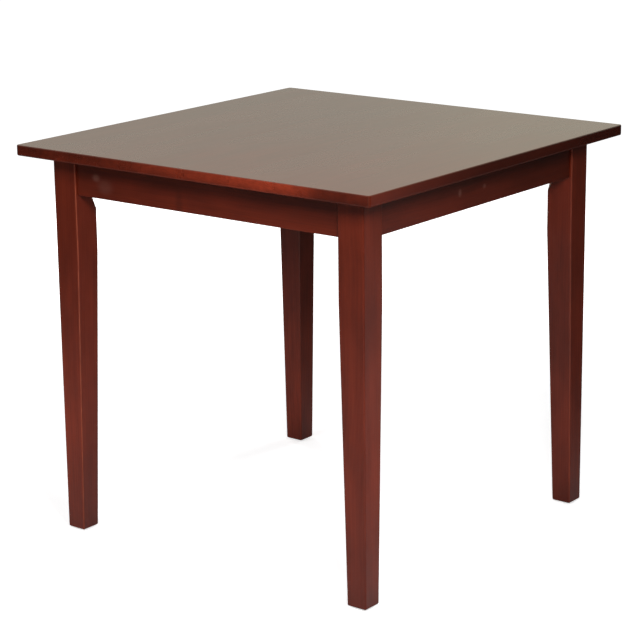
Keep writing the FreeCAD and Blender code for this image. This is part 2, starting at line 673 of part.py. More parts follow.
def make_glide_nails():
    """Four nails that hold the glides."""
    body = new_body("glide_nail")
    shank = "sizes.nail_diameter / 2"
    head = "sizes.nail_head_diameter / 2"
    head_top = "sizes.nail_floor + sizes.nail_head_height"
    point = "sizes.glide_height + sizes.nail_bite"
    profile = [
        ("0", "sizes.nail_floor"),
        (head, "sizes.nail_floor"),
        (head, head_top),
        (shank, head_top),
        (shank, f"{point} - sizes.nail_tip"),
        ("0", point),
    ]
    spin(body, "Revolution", "turned", outline(body, "profile", "XZ_Plane", profile))
    middle = "sizes.foot_section / 2"
    put_in_corner(body, "front_left", middle, middle, "0")
    return keep(in_all_corners(body, "glide_nails"), "glide_nails")


def make_panel(holes):
    """Whole top with eased edges and the holes of its screws, before it is parted into boards."""
    body = new_body("panel_blank")
    half_x = "(sizes.top_length / 2)"
    half_y = "(sizes.top_width / 2)"
    plan = [(f"-{half_x}", f"-{half_y}"), (half_x, f"-{half_y}"), (half_x, half_y), (f"-{half_x}", half_y)]
    blank = pad(body, "blank", outline(body, "plan", "XY_Plane", plan), "sizes.top_thickness")
    upright = edges_where(blank, is_upright)
    corners = ease(body, "Fillet", "corners", blank, upright, Radius="sizes.top_corner_radius")
    thickness = value("sizes.top_thickness")
    upper_rim = edges_where(corners, lambda edge: lies_level(edge, thickness))
    upper = ease(body, "Fillet", "upper_edge", corners, upper_rim, Radius="sizes.top_upper_radius")
    lower_rim = edges_where(upper, lambda edge: lies_level(edge, 0))
    ease(body, "Fillet", "lower_edge", upper, lower_rim, Radius="sizes.top_lower_radius")
    put(body, "0", "0", UNDERSIDE)
    panel = doc.addObject("Part::Cut", "panel")
    panel.Base = body
    panel.Tool = together("panel_holes", *holes)
    return panel


def make_boards(panel):
    """Boards of the top, running along Y, each with a tongue on its right and a groove on its left."""
    count = int(value("sizes.board_count"))
    middle = f"({UNDERSIDE} + sizes.top_thickness / 2)"
    tongue_low = f"({middle} - sizes.tongue_thickness / 2)"
    tongue_high = f"({middle} + sizes.tongue_thickness / 2)"
    for number in range(count):
        left = f"({number} * sizes.top_length / sizes.board_count - sizes.top_length / 2)"
        right = f"({left} + sizes.top_length / sizes.board_count)"
        tip = f"({right} + sizes.tongue_length)"
        root = f"({left} + sizes.tongue_length + sizes.groove_slack)"
        profile = [(left, UNDERSIDE), (right, UNDERSIDE)]
        if number < count - 1:
            profile += [(right, tongue_low), (tip, tongue_low), (tip, tongue_high), (right, tongue_high)]
        profile += [(right, "sizes.table_height"), (left, "sizes.table_height")]
        if number > 0:
            profile += [(left, tongue_high), (root, tongue_high), (root, tongue_low), (left, tongue_low)]
        strip = new_body(f"strip_{number + 1}")
        pad(strip, "plank", outline(strip, "profile", "XZ_Plane", profile), "sizes.top_width", both_ways=True)
        board = doc.addObject("Part::Common", f"board_{number + 1}")
        board.Base = panel
        board.Tool = strip
        keep(board, f"top_board_{number + 1}")


def check():
    """Stop if an object failed or a sub-part has no sound solid."""
    doc.recompute()
    failed = [item.Label for item in doc.Objects if {"Invalid", "Error"} & set(item.State)]
    if failed:
        raise RuntimeError(f"failed objects: {failed}")
    for node in nodes:
        shape = node.Shape
        if shape.isNull() or not shape.isValid() or not shape.Solids:
            raise RuntimeError(f"unsound sub-part: {node.Label}")


def write():
    """Write each sub-part to its own file."""
    os.makedirs("parts", exist_ok=True)
    for node in nodes:
        node.Shape.exportStep(f"parts/{node.Label}.step")
        print(f"{node.Label}: {len(node.Shape.Solids)} solids, {node.Shape.Volume / 1000:.2f} cm3")


def main():
    """Build the table and write it out."""
    fill_sheet()
    for corner in CORNERS:
        make_leg(corner)
    make_aprons()
    for corner in CORNERS:
        make_corner_block(corner)
    make_hanger_bolts()
    make_flat_washers()
    make_spring_washers()
    make_hex_nuts()
    make_block_screws()
    holes = [make_top_screws(), make_pocket_screws()]
    for corner in CORNERS:
        make_glide(corner)
    make_glide_nails()
    make_boards(make_panel(holes))
    check()
    write()


main()
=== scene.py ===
"""Square dining table: finishes of its boards, aprons, legs, blocks and hardware, and the studio round it."""
import math
import random
from collections import namedtuple

import bmesh
import bpy
from bpy.props import FloatProperty, FloatVectorProperty, IntProperty, PointerProperty
from mathutils import Matrix, Vector


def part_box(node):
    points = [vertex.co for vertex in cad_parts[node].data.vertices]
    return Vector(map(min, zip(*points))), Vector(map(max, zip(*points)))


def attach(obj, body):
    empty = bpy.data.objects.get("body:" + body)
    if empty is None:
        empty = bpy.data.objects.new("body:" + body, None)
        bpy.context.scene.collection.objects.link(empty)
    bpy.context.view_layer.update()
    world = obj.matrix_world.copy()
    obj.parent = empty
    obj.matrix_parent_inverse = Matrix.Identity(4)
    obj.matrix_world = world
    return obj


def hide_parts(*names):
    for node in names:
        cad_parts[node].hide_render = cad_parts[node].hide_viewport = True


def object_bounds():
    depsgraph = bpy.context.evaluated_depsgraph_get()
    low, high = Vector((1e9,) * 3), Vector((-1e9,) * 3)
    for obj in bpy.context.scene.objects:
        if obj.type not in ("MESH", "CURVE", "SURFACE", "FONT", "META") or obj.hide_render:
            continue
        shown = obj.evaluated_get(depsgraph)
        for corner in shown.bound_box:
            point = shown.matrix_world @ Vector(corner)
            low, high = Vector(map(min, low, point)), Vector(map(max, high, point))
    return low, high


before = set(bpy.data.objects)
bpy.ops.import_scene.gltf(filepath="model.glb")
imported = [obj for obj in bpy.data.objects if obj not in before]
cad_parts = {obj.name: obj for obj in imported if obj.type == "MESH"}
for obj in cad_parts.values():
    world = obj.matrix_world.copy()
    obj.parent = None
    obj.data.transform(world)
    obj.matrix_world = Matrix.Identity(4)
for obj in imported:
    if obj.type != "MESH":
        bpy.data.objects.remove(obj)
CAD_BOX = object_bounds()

bl_info = {
    "name": "Square Dining Table",
    "version": (1, 0, 0),
    "blender": (4, 5, 0),
    "location": "View3D > Sidebar > Table",
    "description": "Dresses a square dining table with stained wood, raw blocks and plated hardware",
    "category": "Object",
}

ROOT = "root"
CORNERS = ("front_left", "front_right", "back_right", "back_left")
BOARDS = sorted(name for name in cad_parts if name.startswith("top_board_"))

# Directions, levels and faces, in metres
ALONG_X = Vector((1, 0, 0))
ALONG_Y = Vector((0, 1, 0))
ALONG_Z = Vector((0, 0, 1))
TABLE_TOP = CAD_BOX[1][2]
FOOT_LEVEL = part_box("leg_front_left")[0].z
FRONT_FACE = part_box("apron_front")[0].y
RIGHT_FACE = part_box("apron_right")[1].x

# Tones of the top's edges and of the feet, in part painted light and shade: from and to, then the tone at
# each
EDGE_RISE = (-0.31, 0.20, 0.74, 1.86)
EDGE_FALL = (0.23, 0.31, 0.0, 1.25)
PALE_END = -0.305
PALE_END_RANGE = (0.01, 0.04, 0.26, 0.0)
# Painted shade: the top's long edges darker towards the back, where light falls off
SIDE_SHADE_RANGE = (-0.42, -0.02, 0.84, 0.42)
# Painted light and shade down the height of the top's edges: tones low and high on the edge, at the board
# ends and along the long edges
LOW_EDGE_SHADE = (-0.26, -0.04, 1.0, 0.66)
HIGH_EDGE_SHADE = (-0.26, -0.04, 0.84, 1.15)
LOW_SIDE_SHADE = 0.92
HIGH_SIDE_SHADE = 1.02
EDGE_SHADE_BAND = (TABLE_TOP - 0.021, TABLE_TOP - 0.004)
# Painted shade on the top's rounded upright corners
CORNER_SHADE_RANGE = (0.15, 0.45, 1.0, 0.70)
# Painted contact shadow: the feet darker near the floor
FOOT_SHADE_RANGE = (FOOT_LEVEL, 0.06, 0.73, 1.0)

# How squarely a rounded edge faces an axis as it turns from one side of a piece to the next
TURN = (0.4, 0.8)

# Where a piece was cut from its log: the pith across and aside, and the place along the log
PITH_ACROSS = (-0.05, 0.05)
PITH_ASIDE = (0.05, 0.13)
LOG_PLACE = (-9.0, 9.0)

# Tone of the top, and gloss of the lacquer on it and on the other wood
TOP_TONE = 0.84
TOP_TONE_CHANGE = (0.96, 1.04)
TOP_WEAR = 0.06
TOP_IOR = 1.42
LACQUER_IOR = 1.32

# Tones of each apron at the two ends of a reach along it: partly stain, partly painted shade, the right apron
# painted darker towards its back end where light falls off
APRON_GRAINS = {"front": ALONG_X, "right": ALONG_Y, "back": ALONG_X, "left": ALONG_Y}
APRON_REACH = (-0.1, 0.33)
APRON_TONES = {"front": (0.82, 0.64), "right": (0.61, 0.48), "back": (0.80, 0.76), "left": (0.66, 0.60)}
APRON_WEAR = 0.2

# Tones of each leg low and high on its front and side faces, partly stain and partly painted shade, each face
# toned to how light falls on it; and how much its rounded edges are lightened, partly wear and mostly a
# painted highlight along the arrises
LegFinish = namedtuple("LegFinish", "front_tones side_tones wear")
LEG_REACH = (0.15, 0.62)
LEGS = {
    "front_left": LegFinish((1.43, 0.88), (1.00, 0.98), 0.6),
    "front_right": LegFinish((1.00, 0.71), (1.00, 0.74), 0.0),
    "back_right": LegFinish((0.92, 0.88), (1.08, 0.94), 0.35),
    # Painted shade: the back left leg is painted much darker at its top, where the table shades it
    "back_left": LegFinish((1.52, 0.42), (1.00, 0.42), 0.2),
}

# Pale painted highlights and a dark smear on two aprons: middle, half sizes, colour and strength
Mark = namedtuple("Mark", "middle size color amount")
PAINTED_GLINT = (0.190, 0.075, 0.058)
DARK_MARK = (0.052, 0.0065, 0.0030)
MARK_DEPTH = 0.02
APRON_MARKS = {
    "front": (
        Mark((-0.2515, FRONT_FACE, 0.6896), (0.013, MARK_DEPTH, 0.010), PAINTED_GLINT, 0.62),
        Mark((-0.2300, FRONT_FACE, 0.6756), (0.026, MARK_DEPTH, 0.020), PAINTED_GLINT, 0.26),
        Mark((-0.0535, FRONT_FACE, 0.6660), (0.013, MARK_DEPTH, 0.040), DARK_MARK, 0.55),
        Mark((-0.0080, FRONT_FACE, 0.6660), (0.050, MARK_DEPTH, 0.060), DARK_MARK, 0.30),
    ),
    "right": (
        Mark((RIGHT_FACE, -0.0642, 0.6846), (MARK_DEPTH, 0.007, 0.010), PAINTED_GLINT, 0.62),
        Mark((RIGHT_FACE, 0.0126, 0.6841), (MARK_DEPTH, 0.007, 0.006), PAINTED_GLINT, 0.62),
    ),
}

# Hanger bolts, in metres
BOLT_RADIUS = 0.004
BOLT_BEVEL = 0.0008
BOLT_POINT = 0.006
BOLT_POINT_RADIUS = 0.00005
BOLT_BITE = 0.035
WOOD_THREAD_PITCH = 0.0035
WOOD_THREAD_DEPTH = 0.0011
THREAD_FLAT = 0.12
ROWS_PER_PITCH = 8
BOLT_SIDES = 24
SHARP_TURN = math.radians(50)

# Wood of the corner blocks
BLOCK_RING_SPACING = 0.0035
BLOCK_LATEWOOD = 0.62
BLOCK_EARLYWOOD = 1.08
BLOCK_EDGE = 1.15
BLOCK_TONE_CHANGE = (0.94, 1.05)

# Share of its brightness that tarnished plating keeps, and how much brighter dusty nylon is
TARNISH = {"zinc": 0.72, "yellow_zinc": 0.7}
NYLON_DUST = 2.4

# Studio: places in metres, and the paint of the floor where it is lit and further away
LAMP_AIM = Vector((0, 0, 0.45))
CARD_PLACE = Vector((1.0, 0.43, 0.22))
CARD_SIZE = 0.5
SIDE_PLACE = Vector((0.58, -0.20, 0.30))
SIDE_AIM = Vector((0.35, -0.35, 0.30))
SIDE_SIZE = 0.2
FLOOR_SIZE = 30
FLOOR_BRIGHT = (0.84, 0.84, 0.84, 1)
FLOOR_DIM = (0.10, 0.10, 0.10, 1)
BRIGHT_SPOT = (0.0, -0.9, 0.0)
BRIGHT_RANGE = (0.7, 2.4)
GLOW_SPOT = (1.3, -1.6, 0.0)
GLOW_RANGE = (0.7, 1.5, 0.6, 0.0)
NEAR_GLOW = 0.05
SEEN_RANGE = (0.9, 2.0, 0.62, 1.0)
WHITE = (1, 1, 1, 1)
VIEW_DEPTH = 100

# Walls mirrored in the top: from and to, then the brightness at each
WALL_TURN = (0.0, 0.10)
WALL_RISE = (0.14, 0.21, 0.93, 1.0)
WALL_FALL = (0.25, 0.7, 1.0, 0.75)

# Sockets of a Mix node that take and give colours
MIX_FIRST = 6
MIX_SECOND = 7
MIX_RESULT = 2

# Kinds of settings
COLOR = {"subtype": "COLOR", "size": 3, "min": 0, "max": 1}
SHARE = {"subtype": "FACTOR", "min": 0, "max": 1}
POWER = {"unit": "POWER", "min": 0}


class StainedWoodSettings(bpy.types.PropertyGroup):
    """Colours and gloss of the lacquered wood."""

    dark: FloatVectorProperty(
        name="Dark grain", description="Stain in the dense latewood",
        default=(0.096, 0.0112, 0.0042), **COLOR)
    light: FloatVectorProperty(
        name="Light grain", description="Stain in the open earlywood",
        default=(0.152, 0.0196, 0.0077), **COLOR)
    # Lightened rounded edges: stain rubbed thin, and on the legs mostly a painted highlight along the arrises
    worn: FloatVectorProperty(
        name="Worn edge", description="Stain rubbed thin along rounded edges",
        default=(0.360, 0.0900, 0.0450), **COLOR)
    gloss: FloatProperty(
        name="Lacquer roughness", description="Roughness of the cured lacquer",
        default=0.33, **SHARE)
    top_gloss: FloatProperty(
        name="Top roughness", description="Roughness of the polished top",
        default=0.27, **SHARE)
    ring_spacing: FloatProperty(
        name="Ring spacing", description="Distance from one growth ring to the next",
        default=0.0042, unit="LENGTH", min=0.0005)
    seed: IntProperty(name="Seed", description="Changes how the pieces were cut from the log", default=11)


class HardwareSettings(bpy.types.PropertyGroup):
    """Colours and thread of the fasteners, raw blocks and glides."""

    zinc: FloatVectorProperty(
        name="Clear zinc", description="Plating of the bolts, nuts and washers",
        default=(0.56, 0.57, 0.58), **COLOR)
    yellow_zinc: FloatVectorProperty(
        name="Yellow zinc", description="Plating of the wood screws",
        default=(0.62, 0.46, 0.20), **COLOR)
    raw_wood: FloatVectorProperty(
        name="Raw wood", description="Planed wood of the corner blocks",
        default=(0.50, 0.335, 0.185), **COLOR)
    nylon: FloatVectorProperty(
        name="Nylon", description="Moulded foot glides",
        default=(0.035, 0.022, 0.016), **COLOR)
    thread_pitch: FloatProperty(
        name="Thread pitch", description="Pitch of the bolts' machine thread",
        default=0.00125, unit="LENGTH", min=0.0005)
    thread_depth: FloatProperty(
        name="Thread depth", description="Depth of the bolts' machine thread",
        default=0.00068, unit="LENGTH", min=0.0001)


class StudioSettings(bpy.types.PropertyGroup):
    """Camera and light of the photograph."""

    azimuth: FloatProperty(
        name="Azimuth", description="Camera's turn about the table, from the front",
        default=math.radians(37.965), subtype="ANGLE")
    elevation: FloatProperty(
        name="Elevation", description="Camera's height angle",
        default=math.radians(15.084), subtype="ANGLE")
    roll: FloatProperty(
        name="Roll", description="Camera's tilt about its own axis",
        default=math.radians(-0.66), subtype="ANGLE")
    distance: FloatProperty(
        name="Distance", description="Camera to its aim",
        default=4.1070, unit="LENGTH")
    aim_across: FloatProperty(
        name="Aim across", description="Aim to the right of the table's middle",
        default=-0.01136, unit="LENGTH")
    aim_up: FloatProperty(
        name="Aim up", description="Aim above the middle of the wood",
        default=0.01417, unit="LENGTH")
    lens: FloatProperty(
        name="Lens", description="Focal length in millimetres",
        default=122.03, unit="CAMERA")
    ambient: FloatProperty(
        name="Ambient", description="Strength of the even studio light",
        default=0.08, min=0)
    key: FloatProperty(
        name="Key light", description="Power of the soft light high at the front",
        default=18.5, **POWER)
    fill: FloatProperty(
        name="Fill light", description="Power of the soft light beside the camera",
        default=23.8, **POWER)
    left: FloatProperty(
        name="Left light", description="Power of the soft light high at the left",
        default=13, **POWER)
    rear: FloatProperty(
        name="Rear lights", description="Power of each low soft light behind the table",
        default=36, **POWER)
    card: FloatProperty(
        name="White card", description="Power of the card mirrored in the front right leg",
        default=0.72, **POWER)
    side: FloatProperty(
        name="Side light", description="Power of the small light beside the front right leg",
        default=0.35, **POWER)
    wall_left: FloatVectorProperty(
        name="Left wall", description="Wall mirrored in the left of the top",
        default=(0.86, 0.85, 0.72), **COLOR)
    wall_right: FloatVectorProperty(
        name="Right wall", description="Wall mirrored in the right of the top",
        default=(1.0, 1.0, 0.81), **COLOR)


# Nodes


def feed(tree, socket, source):
    """Link a socket to another, or set its value."""
    if isinstance(source, bpy.types.NodeSocket):
        tree.links.new(source, socket)
    else:
        socket.default_value = source


def add(tree, kind, inputs=None, **settings):
    """Add a node; inputs holds numbers, colours or sockets to link."""
    node = tree.nodes.new(kind)
    for name, setting in settings.items():
        setattr(node, name, setting)
    for name, source in (inputs or {}).items():
        feed(tree, node.inputs[name], source)
    return node


def calc(tree, operation, *terms, clamp=False):
    """Result of a Math node."""
    node = add(tree, "ShaderNodeMath", dict(enumerate(terms)), operation=operation, use_clamp=clamp)
    return node.outputs[0]


def vector_calc(tree, operation, *terms):
    """Result of a Vector Math node that gives a vector."""
    return add(tree, "ShaderNodeVectorMath", dict(enumerate(terms)), operation=operation).outputs["Vector"]


def measure(tree, operation, *terms):
    """Result of a Vector Math node that gives a number."""
    return add(tree, "ShaderNodeVectorMath", dict(enumerate(terms)), operation=operation).outputs["Value"]


def scale_color(tree, color, factor):
    """Colour made lighter or darker by a factor."""
    return add(tree, "ShaderNodeVectorMath", {0: color, "Scale": factor}, operation="SCALE").outputs["Vector"]


def axes(tree, vector):
    """X, Y and Z of a vector."""
    return add(tree, "ShaderNodeSeparateXYZ", {0: vector}).outputs


def surface_place(tree):
    """Point of the surface, in metres."""
    return tree.nodes.new("ShaderNodeTexCoord").outputs["Object"]


def surface_normal(tree):
    """Direction that the surface faces."""
    return tree.nodes.new("ShaderNodeNewGeometry").outputs["Normal"]


def facing_axes(tree):
    """How squarely the surface faces each axis, from either side."""
    return axes(tree, vector_calc(tree, "ABSOLUTE", surface_normal(tree)))


def spread(tree, source, low, high, to_low=0.0, to_high=1.0):
    """Smoothly map a range of values to another."""
    inputs = {"Value": source, "From Min": low, "From Max": high, "To Min": to_low, "To Max": to_high}
    return add(tree, "ShaderNodeMapRange", inputs, interpolation_type="SMOOTHSTEP").outputs["Result"]


def blend_color(tree, factor, first, second):
    """Mix of two colours."""
    node = add(tree, "ShaderNodeMix", data_type="RGBA")
    feed(tree, node.inputs["Factor"], factor)
    feed(tree, node.inputs[MIX_FIRST], first)
    feed(tree, node.inputs[MIX_SECOND], second)
    return node.outputs[MIX_RESULT]


def blend_value(tree, factor, first, second):
    """Mix of two values."""
    inputs = {"Factor": factor, "A": first, "B": second}
    return add(tree, "ShaderNodeMix", inputs, data_type="FLOAT").outputs["Result"]


def noise(tree, position, stretch, detail=2.0, roughness=0.5):
    """Noise of a position stretched by cycles per metre along each axis."""
    stretched = vector_calc(tree, "MULTIPLY", position, stretch)
    inputs = {"Vector": stretched, "Scale": 1.0, "Detail": detail, "Roughness": roughness}
    return add(tree, "ShaderNodeTexNoise", inputs).outputs["Fac"]


def opaque(color):
    """Colour with full alpha."""
    return (*color, 1.0)


# Effects that several finishes share


def new_group(name, inputs, outputs):
    """Start a node group; each socket is a name and a kind."""
    tree = bpy.data.node_groups.new(name, "ShaderNodeTree")
    for socket, kind in inputs:
        tree.interface.new_socket(socket, in_out="INPUT", socket_type=f"NodeSocket{kind}")
    for socket, kind in outputs:
        tree.interface.new_socket(socket, in_out="OUTPUT", socket_type=f"NodeSocket{kind}")
    given = tree.nodes.new("NodeGroupInput").outputs
    return tree, given


def put_out(tree, **results):
    """Finish a node group."""
    target = tree.nodes.new("NodeGroupOutput").inputs
    for name, socket in results.items():
        tree.links.new(socket, target[name.replace("_", " ").title()])


def place_group(tree, name, **inputs):
    """Place a node group, built the first time, and set its inputs."""
    if name not in bpy.data.node_groups:
        GROUP_MAKERS[name]()
    node = add(tree, "ShaderNodeGroup", node_tree=bpy.data.node_groups[name])
    for socket_name, source in inputs.items():
        feed(tree, node.inputs[socket_name.replace("_", " ").title()], source)
    return node.outputs


def make_wood_figure_group():
    """Growth rings, streaks, fibres, pores, blotches and clouds of wood whose grain runs along Z."""
    names = ("Rings", "Streaks", "Fibres", "Pores", "Blotches", "Clouds")
    tree, given = new_group(
        "wood_figure",
        [("Position", "Vector"), ("Ring Spacing", "Float")],
        [(name, "Float") for name in names])
    position = given["Position"]
    sway = noise(tree, position, (7.0, 7.0, 1.6))
    ripple = noise(tree, position, (45.0, 45.0, 5.0))
    radius = measure(tree, "LENGTH", vector_calc(tree, "MULTIPLY", position, (1.0, 1.0, 0.0)))
    swayed = calc(tree, "MULTIPLY_ADD", sway, 0.045, radius)
    rippled = calc(tree, "MULTIPLY_ADD", ripple, 0.004, swayed)
    turns = calc(tree, "DIVIDE", rippled, given["Ring Spacing"])
    wave = calc(tree, "SINE", calc(tree, "MULTIPLY", turns, 2 * math.pi))
    rings = calc(tree, "POWER", calc(tree, "MULTIPLY_ADD", wave, 0.5, 0.5), 1.8)
    streaks = noise(tree, position, (130.0, 130.0, 2.6), detail=4.0, roughness=0.6)
    fibres = noise(tree, position, (800.0, 800.0, 11.0))
    pores = spread(tree, noise(tree, position, (620.0, 620.0, 42.0), detail=1.0), 0.60, 0.74)
    blotches = noise(tree, position, (6.0, 6.0, 3.0), detail=3.0)
    clouds = noise(tree, position, (26.0, 26.0, 8.0), detail=3.0)
    put_out(tree, rings=rings, streaks=streaks, fibres=fibres, pores=pores, blotches=blotches, clouds=clouds)


def make_edge_wear_and_glint_group():
    """Mask of rounded edges, where the surface turns between two flat faces, broken up in patches; it lays
    both rubbed wear and a painted highlight along the legs' arrises.
    """
    tree, given = new_group("edge_wear_and_glint", [("Position", "Vector")], [("Mask", "Float")])
    facing = facing_axes(tree)
    upright = calc(tree, "MAXIMUM", facing["X"], facing["Y"])
    flattest = calc(tree, "MAXIMUM", upright, facing["Z"])
    turned = spread(tree, calc(tree, "SUBTRACT", 1.0, flattest), 0.02, 0.24)
    patches = noise(tree, given["Position"], (28.0, 28.0, 28.0), detail=4.0)
    rubbed = spread(tree, patches, 0.34, 0.66, 0.55, 1.0)
    put_out(tree, mask=calc(tree, "MULTIPLY", turned, rubbed))


def make_top_edge_tone_group():
    """Tone of the top: even on its faces, uneven on the board ends, with painted shade: darker along its long
    edges and darker still towards the back, darker on its rounded corners, and painted light and shade down
    the height of its edges.
    """
    tree, given = new_group("top_edge_tone", [("Tone", "Float")], [("Tone", "Float")])
    position = surface_place(tree)
    place = axes(tree, position)
    facing = facing_axes(tree)
    rise = spread(tree, place["X"], *EDGE_RISE)
    fall = spread(tree, place["X"], *EDGE_FALL)
    beside_pale = calc(tree, "ABSOLUTE", calc(tree, "SUBTRACT", place["X"], PALE_END))
    risen = calc(tree, "ADD", rise, spread(tree, beside_pale, *PALE_END_RANGE))
    soaked = spread(tree, noise(tree, position, (45.0, 45.0, 90.0), detail=3.0), 0.3, 0.7, 0.88, 1.12)
    ends = calc(tree, "MULTIPLY", calc(tree, "SUBTRACT", risen, fall), soaked)
    # Painted shade along the long edges, darker towards the back
    side_shade = spread(tree, place["Y"], *SIDE_SHADE_RANGE)
    on_ends = spread(tree, facing["Y"], *TURN)
    on_sides = spread(tree, facing["X"], *TURN)
    by_face = blend_value(tree, on_sides, blend_value(tree, on_ends, 1.0, ends), side_shade)
    # Painted light and shade from the top of each edge to its bottom
    low = blend_value(tree, on_sides, spread(tree, place["X"], *LOW_EDGE_SHADE), LOW_SIDE_SHADE)
    high = blend_value(tree, on_sides, spread(tree, place["X"], *HIGH_EDGE_SHADE), HIGH_SIDE_SHADE)
    edge_height_shade = spread(tree, place["Z"], *EDGE_SHADE_BAND, low, high)
    on_edge = blend_value(tree, spread(tree, facing["Z"], 0.55, 0.25), 1.0, edge_height_shade)
    # Painted shade: darker where the edge turns round a corner
    cornering = calc(tree, "MULTIPLY", facing["X"], facing["Y"])
    rounded = calc(tree, "MULTIPLY", by_face, spread(tree, cornering, *CORNER_SHADE_RANGE))
    shaded = calc(tree, "MULTIPLY", rounded, on_edge)
    put_out(tree, tone=calc(tree, "MULTIPLY", shaded, given["Tone"]))


def make_stained_wood_group():
    """Colour, roughness and height of stained wood under lacquer."""
    colors = ("Dark", "Light", "Worn")
    values = ("Ring Spacing", "Tone", "Mottle", "Pores", "Gloss", "Haze", "Wear")
    inputs = [("Position", "Vector")]
    inputs += [(name, "Color") for name in colors]
    inputs += [(name, "Float") for name in values]
    tree, given = new_group(
        "stained_wood", inputs, [("Color", "Color"), ("Roughness", "Float"), ("Height", "Float")])
    figure = place_group(tree, "wood_figure", position=given["Position"], ring_spacing=given["Ring Spacing"])

    # Grain
    ringed = calc(tree, "MULTIPLY", figure["Rings"], 0.22)
    streaked = calc(tree, "MULTIPLY_ADD", spread(tree, figure["Streaks"], 0.28, 0.72), 0.46, ringed)
    grained = calc(tree, "MULTIPLY_ADD", spread(tree, figure["Fibres"], 0.25, 0.75), 0.32, streaked)
    grain = blend_color(tree, calc(tree, "MULTIPLY", grained, 1.0, clamp=True), given["Dark"], given["Light"])

    # Tone, pores and lightened rounded edges: rubbed wear, and on the legs mostly a painted highlight
    clouds = spread(tree, figure["Clouds"], 0.3, 0.7, -0.14, 0.14)
    blotches = spread(tree, figure["Blotches"], 0.3, 0.7, -0.08, 0.08)
    mottled = calc(tree, "MULTIPLY_ADD", calc(tree, "ADD", clouds, blotches), given["Mottle"], 1.0)
    toned = scale_color(tree, grain, calc(tree, "MULTIPLY", mottled, given["Tone"]))
    pores = calc(tree, "MULTIPLY", figure["Pores"], given["Pores"])
    filled = blend_color(tree, pores, toned, given["Dark"])
    wear = place_group(tree, "edge_wear_and_glint", position=given["Position"])["Mask"]
    worn = blend_color(tree, calc(tree, "MULTIPLY", wear, given["Wear"]), filled, given["Worn"])

    # Lacquer, left out where the surface faces down
    uneven = calc(tree, "MULTIPLY_ADD", pores, 2.0, spread(tree, figure["Blotches"], 0.3, 0.7, 0.0, 0.6))
    lacquered = calc(tree, "MULTIPLY_ADD", uneven, given["Haze"], given["Gloss"])
    turned_down = spread(tree, axes(tree, surface_normal(tree))["Z"], -0.05, -0.40)
    rough = blend_value(tree, turned_down, lacquered, 1.0)
    height = calc(tree, "MULTIPLY_ADD", figure["Fibres"], 0.35, calc(tree, "MULTIPLY", pores, -1.3))
    put_out(tree, color=worn, roughness=rough, height=height)


def make_plated_metal_group():
    """Colour, roughness and height of plated steel with a faint crystal cloud and handling marks."""
    tree, given = new_group(
        "plated_metal",
        [("Position", "Vector"), ("Plating", "Color"), ("Tarnish", "Color")],
        [("Color", "Color"), ("Roughness", "Float"), ("Height", "Float")])
    cloud = noise(tree, given["Position"], (260.0, 260.0, 260.0), detail=4.0)
    scratch = noise(tree, given["Position"], (2200.0, 300.0, 900.0))
    color = blend_color(tree, spread(tree, cloud, 0.35, 0.75), given["Plating"], given["Tarnish"])
    rough = calc(tree, "MULTIPLY_ADD", cloud, 0.22, 0.22)
    put_out(tree, color=color, roughness=rough, height=scratch)


GROUP_MAKERS = {
    "wood_figure": make_wood_figure_group,
    "edge_wear_and_glint": make_edge_wear_and_glint_group,
    "top_edge_tone": make_top_edge_tone_group,
    "stained_wood": make_stained_wood_group,
    "plated_metal": make_plated_metal_group,
}


# Finishes


def new_material(name):
    """Empty material with its shader and output."""
    material = bpy.data.materials.new(name)
    material.use_nodes = True
    tree = material.node_tree
    tree.nodes.clear()
    shader = tree.nodes.new("ShaderNodeBsdfPrincipled")
    output = tree.nodes.new("ShaderNodeOutputMaterial")
    tree.links.new(shader.outputs["BSDF"], output.inputs["Surface"])
    return material, tree, shader


def add_relief(tree, shader, height, bump, distance):
    """Raise and sink a surface by a height, as deep as a distance in metres."""
    relief = add(tree, "ShaderNodeBump", {"Height": height, "Strength": bump, "Distance": distance})
    tree.links.new(relief.outputs["Normal"], shader.inputs["Normal"])


def set_shader(tree, shader, surface, bump, distance):
    """Feed a shader from a group that gives colour, roughness and height."""
    tree.links.new(surface["Color"], shader.inputs["Base Color"])
    tree.links.new(surface["Roughness"], shader.inputs["Roughness"])
    add_relief(tree, shader, surface["Height"], bump, distance)


def log_draw(settings, name):
    """Random draws of one piece, the same on each run."""
    return random.Random(f"{settings.seed} {name}")


def cut_from_log(draw):
    """Random place of a piece in its log: how far to the side the pith lies, and where along the log."""
    side = draw.choice((-1, 1))
    return Vector((draw.uniform(*PITH_ACROSS), side * draw.uniform(*PITH_ASIDE), draw.uniform(*LOG_PLACE)))


def grain_position(tree, grain, shift):
    """Position in metres, turned so that the grain runs along Z and shifted within the log."""
    turn = grain.rotation_difference(ALONG_Z).to_euler()
    inputs = {"Vector": surface_place(tree), "Rotation": turn, "Location": shift}
    return add(tree, "ShaderNodeMapping", inputs).outputs["Vector"]


def stain_wood(tree, settings, **finish):
    """Outputs of the stained wood group in the table's colours."""
    return place_group(
        tree, "stained_wood", ring_spacing=settings.ring_spacing, dark=opaque(settings.dark),
        light=opaque(settings.light), worn=opaque(settings.worn), **finish)


def add_marks(tree, color, place, marks):
    """Lay soft marks over a colour: pale painted highlights and dark smears."""
    for mark in marks:
        away = vector_calc(tree, "DIVIDE", vector_calc(tree, "SUBTRACT", place, mark.middle), mark.size)
        cover = spread(tree, measure(tree, "LENGTH", away), 0.2, 1.0, mark.amount, 0.0)
        color = blend_color(tree, cover, color, opaque(mark.color))
    return color


